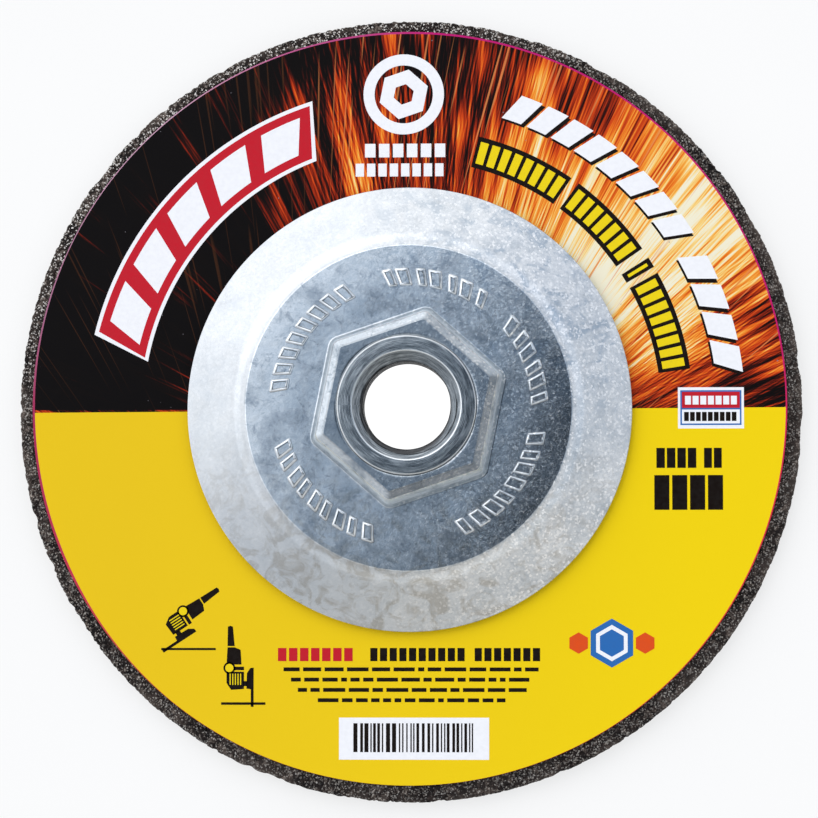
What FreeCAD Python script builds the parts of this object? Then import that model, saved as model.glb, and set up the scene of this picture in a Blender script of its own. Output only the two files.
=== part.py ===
"""Depressed-centre grinding disc with a threaded hub, lying on its work face.

Frame: millimetres, +Z up along the disc's axis, origin on that axis in the plane of the work face.
The label side looks up. The disc's raised centre leaves a shallow recess below, where the hub is clamped.
"""
import FreeCAD
import Part

import math
import os

# Abrasive disc: one moulding of grain and resin, dished at its centre.
wheel_radius = 62.9
wheel_thickness = 3.2
dish_rise = 4.6  # how far the centre is raised, so how deep the recess below it is
recess_radius = 24.9  # flat ceiling of the recess
recess_mouth_radius = 34.45  # where the recess's cone meets the work face
arbor_hole_radius = 11.11
recess_mouth_rounding = 1.5

# Paper label, pressed on all over the back.
label_thickness = 0.2
label_border = 2.4  # bare abrasive between the label and the rim
label_hole_margin = 1.2  # between the nut's corners and the label's hole

# Back flange: one pressed steel sheet with a hexagonal pocket drawn up at its centre.
sheet_thickness = 1.4
skirt_margin = 0.1  # between the skirt's lower edge and the foot of the dish
plateau_rounding = 0.6
pocket_depth = 6.6
pocket_draft = 4.0  # degrees from upright, all six walls
pocket_corner_rounding = 1.4
pocket_foot_rounding = 1.1
pocket_crown_bevel = 1.0
hexagon_turn = 18.7  # degrees from +X to a corner

# Spindle nut: a hexagon in the pocket, a collar above it and a barrel below, rolled over the washer. The
# thread is in the hexagon and the collar; the barrel's bore is plain and wider, so that its end can be rolled.
nut_flats = 23.8
nut_clearance = 0.15
collar_radius = 11.0
collar_stand = 0.5  # how far the collar stands above the flange
collar_chamfer = 0.4
collar_clearance = 0.1
barrel_clearance = 0.15
lip_reach = 1.3  # how far the rolled lip covers the washer
lip_thickness = 0.9
bore_radius = 6.93  # crests of the internal thread
top_countersink_radius = 8.65
top_countersink_angle = 120.0  # degrees, from side to side
barrel_bore_radius = 8.3
barrel_bore_depth = 6.0

# Front washer, in the recess.
washer_width = 6.5  # of the ring, from its hole to its rim
washer_thickness = 1.5
washer_clearance = 0.1

# Heights of the stack, from the work face up.
recess_height = dish_rise
wheel_back = wheel_thickness
raised_back = dish_rise + wheel_thickness
label_top = raised_back + label_thickness
plateau_top = label_top + sheet_thickness
pocket_ceiling = label_top + pocket_depth
crown_top = pocket_ceiling + sheet_thickness
nut_top = crown_top + collar_stand
washer_bottom = recess_height - washer_thickness
nut_bottom = washer_bottom - lip_thickness

# The dish's cone, and the radii that follow from its slope.
slope = math.atan2(dish_rise, recess_mouth_radius - recess_radius)
draft = math.radians(pocket_draft)
barrel_radius = arbor_hole_radius - barrel_clearance
nut_corner_radius = nut_flats / math.sqrt(3)
washer_hole_radius = barrel_radius + washer_clearance
washer_radius = washer_hole_radius + washer_width
pocket_mouth_rounding = pocket_foot_rounding + sheet_thickness  # the outside of the same bend
crown_flats = (
    nut_flats
    + 2 * nut_clearance
    + 2 * sheet_thickness / math.cos(draft)
    - 2 * sheet_thickness * math.tan(draft)
)


def dish(offset):
    """Shoulder and foot, as (radius, height), of the surface that lies offset above the work side."""
    shift = offset * math.tan(slope / 2)
    shoulder = (recess_radius + shift, recess_height + offset)
    foot = (recess_mouth_radius + shift, offset)
    return shoulder, foot


def flat_face(corners):
    """Flat face with those corners."""
    return Part.Face(Part.makePolygon(corners + corners[:1]))


def turned(points):
    """Solid of revolution about Z from a closed outline of (radius, height) points."""
    outline = flat_face([FreeCAD.Vector(radius, 0, height) for radius, height in points])
    return outline.revolve(FreeCAD.Vector(0, 0, 0), FreeCAD.Vector(0, 0, 1), 360)


def circles(shape, radius, height):
    """Edges of shape that are circles of that radius at that height about Z."""
    found = []
    for edge in shape.Edges:
        curve = edge.Curve
        if not isinstance(curve, Part.Circle):
            continue
        if abs(curve.Radius - radius) < 1e-4 and abs(curve.Center.z - height) < 1e-4:
            found.append(edge)
    return found


def rounded(shape, rounding, ring):
    """Shape with its circular edge at that (radius, height) rounded."""
    return shape.makeFillet(rounding, circles(shape, *ring))


def hexagon(flats, height):
    """Six corners of a hexagon, flats wide across, at that height."""
    corner_radius = flats / math.sqrt(3)
    corners = []
    for step in range(6):
        angle = math.radians(hexagon_turn + 60 * step)
        x = corner_radius * math.cos(angle)
        y = corner_radius * math.sin(angle)
        corners.append(FreeCAD.Vector(x, y, height))
    return corners


def upright_edges(shape):
    """Edges that run from one level to another, as a hexagonal block's corners do."""
    return [edge for edge in shape.Edges if edge.BoundBox.ZLength > 0.5]


def level_edges(shape, height, reach):
    """Edges that lie flat at that height, no further than reach from the axis."""
    found = []
    for edge in shape.Edges:
        box = edge.BoundBox
        flat = box.ZLength < 1e-4 and abs(box.ZMin - height) < 1e-4
        if flat and max(vertex.Point.Length for vertex in edge.Vertexes) < math.hypot(reach, height):
            found.append(edge)
    return found


def hexagonal_block(flats_below, bottom, flats_above, top, corner_rounding):
    """Drafted hexagonal block with rounded corners."""
    below = hexagon(flats_below, bottom)
    above = hexagon(flats_above, top)
    faces = [flat_face(below[::-1]), flat_face(above)]
    for step in range(6):
        following = (step + 1) % 6
        faces.append(flat_face([below[step], below[following], above[following], above[step]]))
    block = Part.Solid(Part.Shell(faces))
    return block.makeFillet(corner_rounding, upright_edges(block))


def abrasive_wheel():
    """The moulded disc, as thick at its raised centre and cone as at its rim."""
    low_shoulder, low_foot = dish(0)
    high_shoulder, high_foot = dish(wheel_thickness)
    disc = turned([
        (arbor_hole_radius, recess_height),
        low_shoulder,
        low_foot,
        (wheel_radius, 0),
        (wheel_radius, wheel_back),
        high_foot,
        high_shoulder,
        (arbor_hole_radius, raised_back),
    ])
    return rounded(disc, recess_mouth_rounding, low_foot)


def paper_label():
    """The printed paper, which follows the disc's back from near the rim to under the flange."""
    low_shoulder, low_foot = dish(wheel_thickness)
    high_shoulder, high_foot = dish(wheel_thickness + label_thickness)
    label_radius = wheel_radius - label_border
    hole_radius = nut_corner_radius + label_hole_margin
    return turned([
        (hole_radius, raised_back),
        low_shoulder,
        low_foot,
        (label_radius, wheel_back),
        (label_radius, wheel_back + label_thickness),
        high_foot,
        high_shoulder,
        (hole_radius, label_top),
    ])


def flange_sheet():
    """The flange's plateau and conical skirt, before the pocket is drawn."""
    inner_shoulder, inner_foot = dish(wheel_thickness + label_thickness)
    outer_shoulder, _ = dish(wheel_thickness + label_thickness + sheet_thickness)
    edge_radius = inner_foot[0] - skirt_margin
    edge_height = inner_foot[1] + skirt_margin * math.tan(slope)
    edge_top = (
        edge_radius + sheet_thickness * math.sin(slope),
        edge_height + sheet_thickness * math.cos(slope),
    )
    sheet = turned([
        (0, label_top),
        inner_shoulder,
        (edge_radius, edge_height),
        edge_top,
        outer_shoulder,
        (0, plateau_top),
    ])
    return rounded(sheet, plateau_rounding, outer_shoulder)


def back_flange():
    """The pressed flange: one sheet of even thickness, with the nut's hexagonal pocket at its centre."""
    spread = 2 * math.tan(draft)  # growth across the flats for each millimetre down
    boss = hexagonal_block(
        crown_flats + spread * (crown_top - label_top), label_top,
        crown_flats, crown_top,
        pocket_corner_rounding,
    )
    flange = flange_sheet().fuse(boss).removeSplitter()
    foot_reach = nut_corner_radius + sheet_thickness + spread * pocket_depth + 1
    flange = flange.makeFillet(pocket_foot_rounding, level_edges(flange, plateau_top, foot_reach))
    flange = flange.makeChamfer(pocket_crown_bevel, level_edges(flange, crown_top, foot_reach))

    ceiling_flats = nut_flats + 2 * nut_clearance
    pocket = hexagonal_block(
        ceiling_flats + spread * pocket_depth, label_top,
        ceiling_flats, pocket_ceiling,
        pocket_corner_rounding / 2,
    )
    flange = flange.cut(pocket)
    flange = flange.makeFillet(pocket_mouth_rounding, level_edges(flange, label_top, foot_reach))
    hole = Part.makeCylinder(
        collar_radius + collar_clearance, 3 * sheet_thickness,
        FreeCAD.Vector(0, 0, pocket_ceiling - sheet_thickness),
    )
    return flange.cut(hole)


def spindle_nut():
    """The threaded nut, bored through, with its lower end rolled outwards over the washer."""
    hexagon_block = flat_face(hexagon(nut_flats, raised_back)).extrude(
        FreeCAD.Vector(0, 0, pocket_ceiling - raised_back)
    )
    lip_radius = barrel_radius + lip_reach
    body = turned([
        (0, nut_bottom),
        (lip_radius - lip_thickness, nut_bottom),
        (lip_radius, nut_bottom + lip_thickness / 2),
        (lip_radius, washer_bottom),
        (barrel_radius, washer_bottom),
        (barrel_radius, raised_back),
        (barrel_radius, raised_back + 1),
        (collar_radius, pocket_ceiling - 1),
        (collar_radius, nut_top - collar_chamfer),
        (collar_radius - collar_chamfer, nut_top),
        (0, nut_top),
    ])
    half_angle = math.radians(top_countersink_angle / 2)
    top_depth = (top_countersink_radius - bore_radius) / math.tan(half_angle)
    thread_start = nut_bottom + barrel_bore_depth
    bore = turned([
        (0, nut_bottom),
        (barrel_bore_radius, nut_bottom),
        (barrel_bore_radius, thread_start - (barrel_bore_radius - bore_radius)),
        (bore_radius, thread_start),
        (bore_radius, nut_top - top_depth),
        (top_countersink_radius, nut_top),
        (0, nut_top),
    ])
    return hexagon_block.fuse(body).removeSplitter().cut(bore)


def front_washer():
    """The flat steel washer that the nut's lip holds against the recess."""
    return turned([
        (washer_hole_radius, washer_bottom),
        (washer_radius, washer_bottom),
        (washer_radius, recess_height),
        (washer_hole_radius, recess_height),
    ])


parts = {
    "abrasive_wheel": abrasive_wheel,
    "paper_label": paper_label,
    "back_flange": back_flange,
    "spindle_nut": spindle_nut,
    "front_washer": front_washer,
}

os.makedirs("parts", exist_ok=True)
for name, make in parts.items():
    shape = make()
    shape.exportStep("parts/" + name + ".step")
    print(name, "solids", len(shape.Solids), "valid", shape.isValid(), "volume", round(shape.Volume, 1))
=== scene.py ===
# %% [markdown]
# A depressed-centre grinding disc, dressed around its CAD frame. The disc lies on its work face: a moulding
# of abrasive grain and resin, a printed paper label on its back, a pressed steel flange with a hexagonal
# pocket, and a threaded nut that reaches through to a washer below. The frame is loaded first, so every
# piece that follows can take its place and its size from the CAD.

# %% Load the frame
import math
import random
from functools import partial

import bpy
import numpy as np
from mathutils import Matrix, Vector, noise


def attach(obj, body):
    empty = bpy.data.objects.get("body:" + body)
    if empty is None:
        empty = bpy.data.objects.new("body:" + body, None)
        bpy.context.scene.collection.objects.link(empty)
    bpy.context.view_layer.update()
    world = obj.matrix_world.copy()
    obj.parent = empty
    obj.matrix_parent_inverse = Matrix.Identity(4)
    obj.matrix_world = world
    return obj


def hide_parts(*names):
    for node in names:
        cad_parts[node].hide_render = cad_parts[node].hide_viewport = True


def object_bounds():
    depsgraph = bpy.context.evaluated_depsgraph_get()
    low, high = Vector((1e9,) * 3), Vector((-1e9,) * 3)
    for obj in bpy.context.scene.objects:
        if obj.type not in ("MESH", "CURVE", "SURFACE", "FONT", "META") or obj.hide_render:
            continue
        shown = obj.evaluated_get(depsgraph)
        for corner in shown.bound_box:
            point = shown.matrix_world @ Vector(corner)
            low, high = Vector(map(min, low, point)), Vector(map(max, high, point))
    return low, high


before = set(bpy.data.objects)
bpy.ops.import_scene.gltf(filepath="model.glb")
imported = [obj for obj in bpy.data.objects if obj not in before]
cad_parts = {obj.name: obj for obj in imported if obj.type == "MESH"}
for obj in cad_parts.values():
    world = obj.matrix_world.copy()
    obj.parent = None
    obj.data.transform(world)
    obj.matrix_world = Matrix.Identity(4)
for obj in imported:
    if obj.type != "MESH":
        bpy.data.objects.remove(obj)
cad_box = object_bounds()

MM = 0.001
cad_size = cad_box[1] - cad_box[0]
print("CAD box in mm", [round(side / MM, 2) for side in cad_size])

# %% [markdown]
# The camera looks almost straight down, from a little right of the disc's axis and below it in the picture.
# The circles of the disc show where it stands: the higher a circle lies, the further its centre drifts away
# from the camera, so the drift over the flange's height gives the tilt. A long lens from 600 mm keeps the
# flange's height from swelling, as it does in the photograph.

# %% Camera
PICTURE = 818  # pixels, width and height
PIXELS_PER_MM = 6.231  # at the height of the label
LABEL_HEIGHT = 3.4
CAMERA_PLACE = Vector((24.9, -33.7, 600.0))
CAMERA_TARGET = Vector((-0.1, 0.08, LABEL_HEIGHT))

sight = CAMERA_TARGET - CAMERA_PLACE
right = sight.cross(Vector((0, 1, 0))).normalized()
up = right.cross(sight).normalized()
lens = bpy.data.cameras.new("camera")
lens.sensor_width = 36
lens.lens = lens.sensor_width * PIXELS_PER_MM * sight.length / PICTURE
lens.clip_start, lens.clip_end = 0.01, 20
camera = bpy.data.objects.new("camera", lens)
camera.location = CAMERA_PLACE * MM
camera.rotation_mode = "QUATERNION"
camera.rotation_quaternion = Matrix((right, up, -sight.normalized())).transposed().to_quaternion()
bpy.context.collection.objects.link(camera)
bpy.context.scene.camera = camera
bpy.context.scene.view_settings.view_transform = "Standard"
print("focal length in mm", round(lens.lens, 1))

# %% [markdown]
# Every finish below is a small tree of shader nodes. Colours are written as sRGB hex values, as a colour
# picker gives them, and one function makes them linear, which is what a shader counts in. Another function
# adds a node: its settings, its values and its links go in together, so a tree reads from top to bottom. The
# inputs are listed in the order of the node's sockets, or given by their names. Each material starts with
# that function bound to its own tree, under the name add.

# %% Colour and node helpers
def linear(code):
    """sRGB hex colour as linear red, green, blue and alpha."""
    channels = [int(code[at:at + 2], 16) / 255 for at in (1, 3, 5)]
    return tuple(c / 12.92 if c <= 0.04045 else ((c + 0.055) / 1.055) ** 2.4 for c in channels) + (1.0,)


def node(tree, kind, inputs=(), operation=None, stops=None, **settings):
    """A new node. Inputs are values, colour codes, sockets or nodes, in order or by name or number.

    Stops fill a colour ramp.
    """
    made = tree.nodes.new("ShaderNode" + kind)
    if operation:
        made.operation = operation
    for setting, value in settings.items():
        setattr(made, setting, value)
    for key, value in inputs.items() if isinstance(inputs, dict) else enumerate(inputs):
        if isinstance(key, str):
            socket = next(s for s in made.inputs if s.enabled and s.name == key)
        else:
            socket = made.inputs[key]
        if isinstance(value, bpy.types.Node):
            value = next(s for s in value.outputs if s.enabled)
        if isinstance(value, bpy.types.NodeSocket):
            tree.links.new(value, socket)
        else:
            socket.default_value = linear(value) if isinstance(value, str) else value
    if stops:
        ramp = made.color_ramp
        while len(ramp.elements) < len(stops):
            ramp.elements.new(1.0)
        for element, (place, colour) in zip(ramp.elements, stops):
            element.position = place
            element.color = linear(colour) if isinstance(colour, str) else (colour,) * 3 + (1.0,)
    return made


def start_material(name):
    """A material with an empty tree, what adds a node to it, and the place of each point in millimetres."""
    material = bpy.data.materials.new(name)
    material.use_nodes = True
    material.node_tree.nodes.clear()
    add = partial(node, material.node_tree)
    place = add("TexCoord").outputs["Object"]
    return material, add, add("VectorMath", [place, (1 / MM,) * 3], "MULTIPLY")


def disc_place(add, millimetres):
    """Coordinates of each point, its place seen from above, and its distance from the disc's axis."""
    x, y, z = add("SeparateXYZ", [millimetres]).outputs
    flat = add("CombineXYZ", [x, y])
    return x, y, z, flat, add("VectorMath", [flat], "LENGTH")


# %% [markdown]
# The disc itself is brown fused alumina grit in a phenolic resin, pressed and baked. A grit of 24 means
# grains of about 0.7 mm. The resin is almost black, the grains are brown to grey. Cells of a Voronoi pattern
# stand for the grains: each cell takes its own shade, and a few are bright and smooth. Smaller cells add the
# chips between the grains. The smooth chips get painted glints, near white, most of all at the upper left
# and towards the top of the rim, and the whole disc is painted darker towards the lower right as shade. The
# glass net that is moulded in shows on the work side, as a grid of pale, shallow yarns.

# %% Finish: resin-bonded alumina
GRAIN = 0.7  # mm, the width of a grain of grit 24
NET_PITCH = 4.5  # mm between the yarns of the glass net that is moulded into the work face
RECESS_RADIUS, RECESS_MOUTH = 24.9, 34.45  # of the recess's flat ceiling, and of its cone at the work face

abrasive, add, mm = start_material("resin_bonded_alumina")
grains = add("TexVoronoi", {"Vector": mm, "Scale": 1 / GRAIN})
chips = add("TexVoronoi", {"Vector": mm, "Scale": 3.4 / GRAIN})
grain_shade = add("SeparateColor", [grains.outputs["Color"]])
chip_shade = add("SeparateColor", [chips.outputs["Color"]])
patches = add("TexNoise", {"Vector": mm, "Scale": 1 / 7, "Detail": 3.0})
crumbs = add("TexNoise", {"Vector": mm, "Scale": 2.2 / GRAIN, "Detail": 3.0, "Roughness": 0.7})
crumbs = add("Math", [crumbs, 0.5], "SUBTRACT")
grain_level = add("Math", [crumbs, 1.1, grain_shade.outputs[0]], "MULTIPLY_ADD")
chip_level = add("Math", [crumbs, 0.6, chip_shade.outputs[1]], "MULTIPLY_ADD")
grain_colour = add("ValToRGB", [grain_level], stops=[
    (0.0, "#060404"), (0.35, "#120B0A"), (0.62, "#241B18"), (0.85, "#463A35"), (1.0, "#85786F"),
])
chip_colour = add("ValToRGB", [chip_level], stops=[
    (0.0, "#040303"), (0.5, "#150F0D"), (0.80, "#332925"), (0.90, "#B9ADA2"), (1.0, "#FFFAF2"),
])
mixed = add("Mix", {"Factor": 0.5, "A": grain_colour, "B": chip_colour}, data_type="RGBA")
x, y, z, _, from_axis = disc_place(add, mm)
edge_band = add("MapRange", [from_axis, 61.6, 62.8, 0.10, 0.42])
dust = add("MapRange", [patches, 0.42, 0.62])
# Painted shade: the whole disc is mixed towards near black, by up to 40 %, towards the lower right.
painted_side_shade = add("Math", [y, x], "SUBTRACT")
painted_side_shade = add("MapRange", [painted_side_shade, -60.0, 70.0, 0.60, 1.0])
mixed = add("Mix", {"Factor": painted_side_shade, "A": "#0D0807", "B": mixed}, data_type="RGBA")
glints = add("Math", [chip_shade.outputs[2], 0.9], "GREATER_THAN")
# Painted glints: the smooth chips are laid near white, most at the upper left and towards the top of the rim.
painted_glint = add("Math", [x, -0.6, y], "MULTIPLY_ADD")
painted_glint = add("MapRange", [painted_glint, 30.0, 60.0, 0.12, 0.85])
from_above = add("MapRange", [z, 1.6, 2.9, 0.3, 1.0])
painted_glint = add("Math", [painted_glint, from_above], "MULTIPLY")
roughness = add("MapRange", {0: glints, 3: 0.72, 4: 0.16})
height = add("Math", [chips.outputs["Distance"], 0.5, grains.outputs["Distance"]], "MULTIPLY_ADD")

below = add("MapRange", [from_axis, RECESS_RADIUS, RECESS_MOUTH, 5.2, 0.6])
below = add("Math", [z, below], "LESS_THAN")
net = None
for side in (x, y):
    across = add("Math", [side, math.pi / NET_PITCH], "MULTIPLY")
    across = add("Math", [across], "COSINE")
    across = add("Math", [across], "ABSOLUTE")
    yarn = add("MapRange", [across, 0.86, 1.0])
    net = yarn if net is None else add("Math", [net, yarn], "MAXIMUM")
net = add("Math", [net, below], "MULTIPLY")
# Grey dust by the outer edge, painted glints on the smooth chips, and the pale net of the work side.
for mask, strength, code in ((edge_band, dust, "#6E625B"), (glints, painted_glint, "#F1ECE6"), (net, 0.42, "#8A7B62")):
    share = add("Math", [mask, strength], "MULTIPLY")
    mixed = add("Mix", {"Factor": share, "A": mixed, "B": code}, data_type="RGBA")
height = add("Math", [net, -1.3, height], "MULTIPLY_ADD")
relief = add("Bump", {"Strength": 0.9, "Distance": 0.22 * MM, "Height": height}, invert=True)
shader = add("BsdfPrincipled", {
    "Base Color": mixed, "Roughness": roughness, "IOR": 1.6, "Specular IOR Level": 0.16, "Normal": relief,
})
add("OutputMaterial", [shader])
print("grain cells of", GRAIN, "mm")

# %% [markdown]
# The label is coated paper, printed in flat colours: yellow below, and above it black with a shower of
# sparks. The sparks are drawn from nodes alone. Streaks fly out from points that lie hidden under the
# flange, so a pattern is worked out in bearing and reach from such a point: noise that changes fast with the
# bearing and slowly with the reach is a fan of streaks. One broad fan leads, and two thin ones cross it. A
# curve round the disc says how hot the shower is. It cools towards the rim, and a colour scale turns heat
# into black, red, orange, and a pale yellow glow.

# %% Finish: printed paper, the shower of sparks
SPARK_SOURCES = {  # mm
    "main": (4.0, -16.0, 0.0), "low": (-9.0, -36.0, 0.0), "near": (11.0, -3.0, 0.0),
    "cross": (-16.0, -52.0, 0.0),
}
STREAK_WIDTH = 0.0085  # radians, which is about half a millimetre half way out
STREAK_LENGTH = 24.0  # mm

paper, add, mm = start_material("printed_coated_paper")
x, y, _, flat, from_axis = disc_place(add, mm)
round_disc = add("Math", [y, x], "ARCTAN2")
half_turn = add("Math", [round_disc, math.pi], "DIVIDE")
fans = {}
for name, source in SPARK_SOURCES.items():
    offset = add("VectorMath", [flat, source], "SUBTRACT")
    reach = add("VectorMath", [offset], "LENGTH")
    aside, ahead, _ = add("SeparateXYZ", [offset]).outputs
    fans[name] = add("Math", [ahead, aside], "ARCTAN2"), reach, ahead

heat = add("ValToRGB", [half_turn], stops=[
    (0.0, 0.30), (0.02, 0.40), (0.05, 0.55), (0.10, 0.66), (0.15, 0.88), (0.19, 0.96), (0.24, 0.84),
    (0.30, 0.645), (0.36, 0.54), (0.41, 0.45), (0.46, 0.34), (0.51, 0.38), (0.575, 0.43), (0.60, 0.25),
    (0.645, 0.20), (0.70, 0.15), (0.74, 0.0), (1.0, 0.0),
]).outputs[0]
cooled = add("MapRange", [from_axis, 36.0, 60.0, 0.07, -0.07])
heat = add("Math", [heat, cooled], "ADD")
for name, width, length, share, offset_z in (
    ("main", 0.9 * STREAK_WIDTH, STREAK_LENGTH, 0.78, 0.0),
    ("low", 0.42 * STREAK_WIDTH, 0.8 * STREAK_LENGTH, 0.52, 5.0),
    ("near", 0.6 * STREAK_WIDTH, 0.6 * STREAK_LENGTH, 0.28, 13.0),
    ("main", 4.5 * STREAK_WIDTH, 0.8 * STREAK_LENGTH, 0.65, 9.0),
):
    bearing, reach, _ = fans[name]
    at_left = 1.6 if width > STREAK_WIDTH else 1.0 if name == "main" else 0.2
    share = add("MapRange", [half_turn, 0.585, 0.63, share, at_left * share])
    across = add("Math", [bearing, width], "DIVIDE")
    along = add("Math", [reach, length], "DIVIDE")
    fan = add("CombineXYZ", [across, along, offset_z])
    streaks = add("TexNoise", {"Vector": fan, "Scale": 1.0, "Detail": 1.0})
    streaks = add("Math", [streaks, 0.5], "SUBTRACT")
    heat = add("Math", [streaks, share, heat], "MULTIPLY_ADD")
clouds = add("TexNoise", {"Vector": mm, "Scale": 1 / 13, "Detail": 1.0})
clouds = add("Math", [clouds, 0.5], "SUBTRACT")
heat = add("Math", [clouds, 0.5, heat], "MULTIPLY_ADD")
sparks = add("ValToRGB", [heat], stops=[
    (0.0, "#090607"), (0.22, "#0C0707"), (0.32, "#380F0A"), (0.42, "#8E240D"), (0.52, "#CF4415"),
    (0.62, "#EC7620"), (0.72, "#F8AA40"), (0.82, "#FBD886"), (0.94, "#F5EDD2"),
])
print("sparks fly from", list(fans))

# %% [markdown]
# A few single sparks fly across the fan, thin and straight, and fine dust of the printer's black screen
# shows as pale specks. The lower half of the label is the yellow ink, a touch warmer at the left.

# %% Finish: printed paper, single sparks, specks and colour fields
bearing, _, ahead = fans["cross"]
across = add("Math", [bearing, 0.0048], "DIVIDE")
along = add("Math", [ahead, 30.0], "DIVIDE")
cross_fan = add("CombineXYZ", [across, along])
crossing = add("TexNoise", {"Vector": cross_fan, "Scale": 1.0, "Detail": 0.0})
crossing = add("MapRange", [crossing, 0.68, 0.76, 0.0, 0.75])
near_fan = add("MapRange", [half_turn, 0.62, 0.55, 0.06, 1.0])
crossing = add("Math", [crossing, near_fan], "MULTIPLY")
sparks = add("Mix", {"Factor": crossing, "A": sparks, "B": "#E58A4E"}, data_type="RGBA")

specks = add("TexVoronoi", {"Vector": mm, "Scale": 1 / 1.9})
speck_luck = add("SeparateColor", [specks.outputs["Color"]])
speck_size = add("MapRange", [speck_luck.outputs[0], 0.55, 1.0, 0.0, 0.075])
speck = add("Math", [specks.outputs["Distance"], speck_size], "LESS_THAN")
speck = add("Math", [speck, 0.55], "MULTIPLY")
sparks = add("Mix", {"Factor": speck, "A": sparks, "B": "#8E8A90"}, data_type="RGBA")

warm = add("MapRange", [x, -45.0, 45.0])
yellow_field = add("Mix", {"Factor": warm, "A": "#ECC51C", "B": "#F6D50F"}, data_type="RGBA")
split = add("Math", [x, -0.0053, y], "MULTIPLY_ADD")
upper = add("Math", [split, -0.08], "GREATER_THAN")
fields = add("Mix", {"Factor": upper, "A": yellow_field, "B": sparks}, data_type="RGBA")
print("print of", len(paper.node_tree.nodes), "nodes up to here")

# %% [markdown]
# The sheet was cut a little off the centre of its print, so a thin line of the bleed is left round the edge,
# widest at the left and at the top. One colour scale round the label gives the line's width, another its
# colour. The bleed is magenta: over the yellow ink it looks red to orange, and at the bottom the cut has
# taken it off. The coating gives the paper a soft gloss, and the grit below presses through it as a very
# slight unevenness.

# %% Finish: printed paper, bleed and surface
LABEL_RADIUS = 60.6
LABEL_CENTRE = (-0.20, 0.45, 0.0)  # mm; the label was stuck on a little off the disc's axis
off_centre = add("VectorMath", [flat, LABEL_CENTRE], "SUBTRACT")
label_reach = add("VectorMath", [off_centre], "LENGTH")
to_edge = add("Math", [LABEL_RADIUS, label_reach], "SUBTRACT")
round_edge = add("MapRange", [round_disc, -math.pi, math.pi])
bleed_width = add("ValToRGB", [round_edge], stops=[  # mm
    (0.0, 0.36), (0.07, 0.40), (0.10, 0.25), (0.14, 0.07), (0.25, 0.04), (0.33, 0.07), (0.40, 0.18),
    (0.48, 0.24), (0.67, 0.27), (0.75, 0.34), (0.80, 0.22), (0.87, 0.14), (0.93, 0.14), (1.0, 0.36),
])
bleed = add("Math", [to_edge, bleed_width.outputs[0]], "LESS_THAN")
bleed_colour = add("ValToRGB", [round_edge], stops=[
    (0.0, "#A8305A"), (0.08, "#C23A4E"), (0.14, "#C8602A"), (0.25, "#6A3A1C"), (0.36, "#D8452F"),
    (0.47, "#D62F4A"), (0.53, "#C41A6C"), (0.74, "#C01E72"), (0.80, "#BE5A8C"), (0.86, "#D3A6BC"),
    (0.96, "#A86A88"), (1.0, "#A8305A"),
])
printed = add("Mix", {"Factor": bleed, "A": fields, "B": bleed_colour}, data_type="RGBA")

fibre = add("TexNoise", {"Vector": mm, "Scale": 3.5, "Detail": 3.0})
swell = add("TexNoise", {"Vector": mm, "Scale": 0.35, "Detail": 2.0})
gloss = add("MapRange", [fibre, 0.3, 0.7, 0.36, 0.48])
surface = add("Math", [swell, 6.0, fibre], "MULTIPLY_ADD")
relief = add("Bump", {"Strength": 0.5, "Distance": 0.008 * MM, "Height": surface})
shader = add("BsdfPrincipled", {
    "Base Color": printed, "Roughness": gloss, "IOR": 1.45, "Specular IOR Level": 0.08, "Normal": relief,
})
add("OutputMaterial", [shader])
print("label print of", len(paper.node_tree.nodes), "nodes")

# %% [markdown]
# The inks over the print are opaque screen inks. Each is one colour, but ink is never quite even: it pools
# and thins by a few percent, and its gloss changes with it. One loop makes them all from a short table.

# %% Finish: screen inks
INKS = {
    "white_ink": "#F8F8FC", "red_ink": "#C61F2E", "black_ink": "#150D09",
    "yellow_ink": "#F3D616", "blue_ink": "#2F6DB5", "orange_ink": "#E2521F",
}
inks = {}
for name, code in INKS.items():
    inks[name], add, mm = start_material(name)
    pooling = add("TexNoise", {"Vector": mm, "Scale": 1.4, "Detail": 4.0})
    thinner = tuple(0.95 * c + 0.004 for c in linear(code)[:3]) + (1.0,)
    colour = add("Mix", {
        "Factor": add("MapRange", [pooling, 0.35, 0.65]),
        "A": code, "B": thinner,
    }, data_type="RGBA")
    gloss = add("MapRange", [pooling, 0.3, 0.7, 0.34, 0.46])
    relief = add("Bump", {"Strength": 0.4, "Distance": 0.004 * MM, "Height": pooling})
    shader = add("BsdfPrincipled", {
        "Base Color": colour, "Roughness": gloss, "IOR": 1.45, "Specular IOR Level": 0.08, "Normal": relief,
    })
    add("OutputMaterial", [shader])
print("inks", sorted(inks))

# %% [markdown]
# The flange is sheet steel, pressed and then electroplated with zinc, with a clear blue passivate. That skin
# is not even: it is cloudy in patches of a few millimetres, with a fine frosted sparkle where the crystals
# of zinc stand. Where the sheet was drawn hard, round the hexagonal pocket, the coat is chalky on the walls,
# and a darker band along their foot is painted shade in the crease. Handling has scuffed the flat plateau,
# whose right side is painted darker as shade, and the tops of the raised marks are painted lighter as a
# highlight. Water has left stains on the lower side. Each of these has a mask, a range of one measure that
# fades from one value to another: a place, a height or a noise. One table lists them all.

# %% Finish: zinc-plated steel, masks
CLOUD = 5.0  # mm, the width of the passivate's clouds
CRYSTAL = 0.34  # mm; real crystals are some hundredths, too fine to show

zinc, add, mm = start_material("zinc_plated_steel")
x, y, z, _, from_axis = disc_place(add, mm)
clouds, frost, blots, stains, scuffs = [
    add("TexNoise", {
        "Vector": mm, "Scale": 1 / width, "Detail": detail, "Roughness": rough, "Distortion": bend,
    })
    for width, detail, rough, bend in (
        (CLOUD, 5.0, 0.62, 0.0), (0.6, 3.0, 0.7, 0.0), (3.6, 5.0, 0.65, 0.8), (4.2, 4.0, 0.6, 1.6),
        (1.7, 6.0, 0.72, 1.2),
    )
]
crystals = add("TexVoronoi", {"Vector": mm, "Scale": 1 / CRYSTAL})
crystal_shade = add("SeparateColor", [crystals.outputs["Color"]])

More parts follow.
